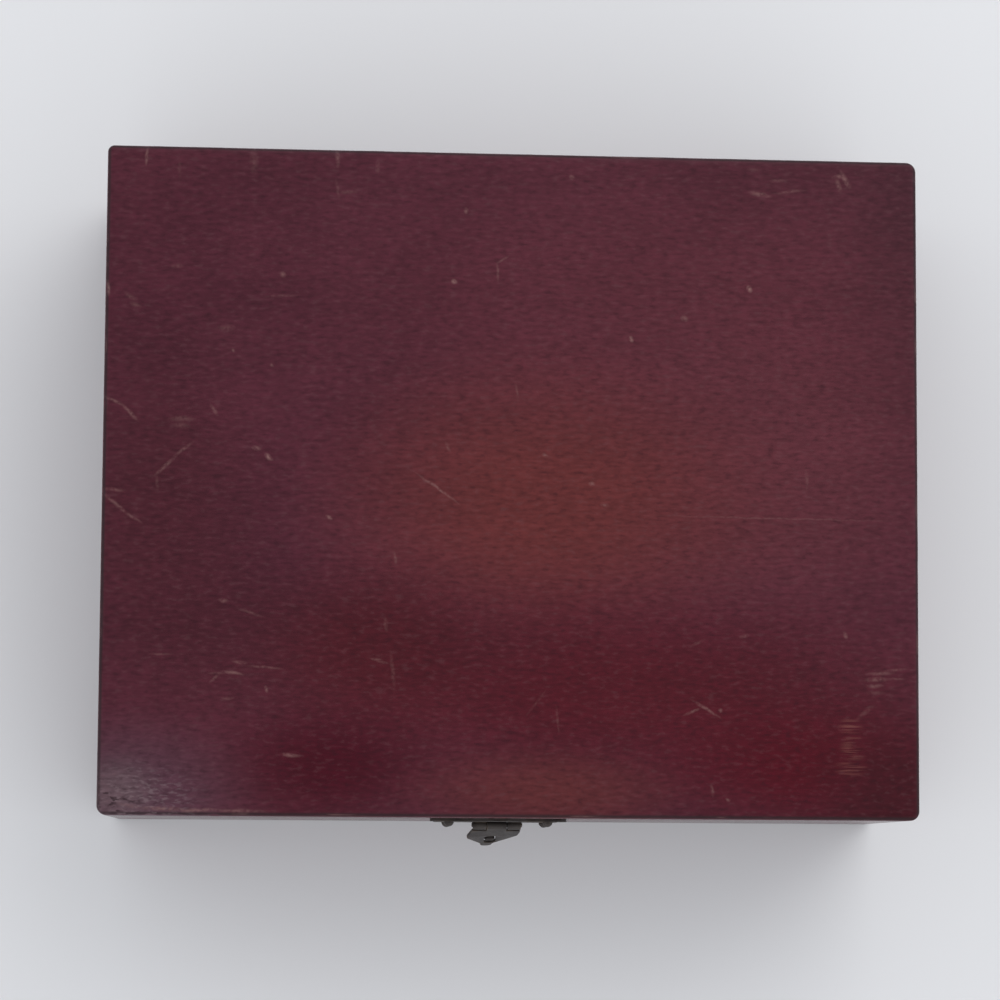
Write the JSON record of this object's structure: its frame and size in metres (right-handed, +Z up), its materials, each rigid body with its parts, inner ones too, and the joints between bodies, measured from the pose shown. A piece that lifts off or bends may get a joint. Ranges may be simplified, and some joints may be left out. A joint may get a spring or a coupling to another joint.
{
  "type": "hinged wooden keepsake box",
  "caption": "Flat rectangular stained wooden box with a lid hinged at the back and a small bronze hasp with a slotted tongue and turn knob at the front.",
  "frame": {"origin": "middle of the box's underside, midway between the outer faces of the four walls", "axes": "+Z up, +X to the right along the long front, the front with the hasp towards -Y, the hinges towards +Y"},
  "size_m": [0.22, 0.1904, 0.068],
  "materials": {
    "stained_wood": "dark red stain under worn satin varnish",
    "bare_wood": "plain planed wood",
    "bronze": "dark antique bronze with worn edges"
  },
  "bodies": {
    "case": {"body_front_wall": "stained_wood", "body_back_wall": "stained_wood", "body_left_wall": "stained_wood", "body_right_wall": "stained_wood", "body_bottom_panel": "bare_wood", "hinge_left_body_leaf": "bronze", "hinge_left_pin": "bronze", "hinge_right_body_leaf": "bronze", "hinge_right_pin": "bronze", "hinge_body_nails": "bronze", "keeper_plate": "bronze", "keeper_nails": "bronze"},
    "lid": {"lid_front_rail": "stained_wood", "lid_back_rail": "stained_wood", "lid_left_rail": "stained_wood", "lid_right_rail": "stained_wood", "lid_top_panel": "stained_wood", "hinge_left_lid_leaf": "bronze", "hinge_right_lid_leaf": "bronze", "hinge_lid_nails": "bronze", "hasp_plate": "bronze", "hasp_pin": "bronze", "hasp_plate_nails": "bronze"},
    "tongue": {"hasp_tongue": "bronze"},
    "knob": {"turn_knob": "bronze"}
  },
  "joints": [
    {"name": "lid_hinge", "type": "hinge", "parent": "case", "child": "lid", "pos_m": [0, 0.0918, 0.046], "axis": [-1, 0, 0], "range_deg": [0, 170]},
    {"name": "hasp_hinge", "type": "hinge", "parent": "lid", "child": "tongue", "pos_m": [-0.0027, -0.0916, 0.0478], "axis": [-1, 0, 0], "range_deg": [-16, 125]},
    {"name": "knob_turn", "type": "hinge", "parent": "case", "child": "knob", "pos_m": [-0.00409, -0.09, 0.0382], "axis": [0, -1, 0], "range_deg": [0, 90]}
  ]
}
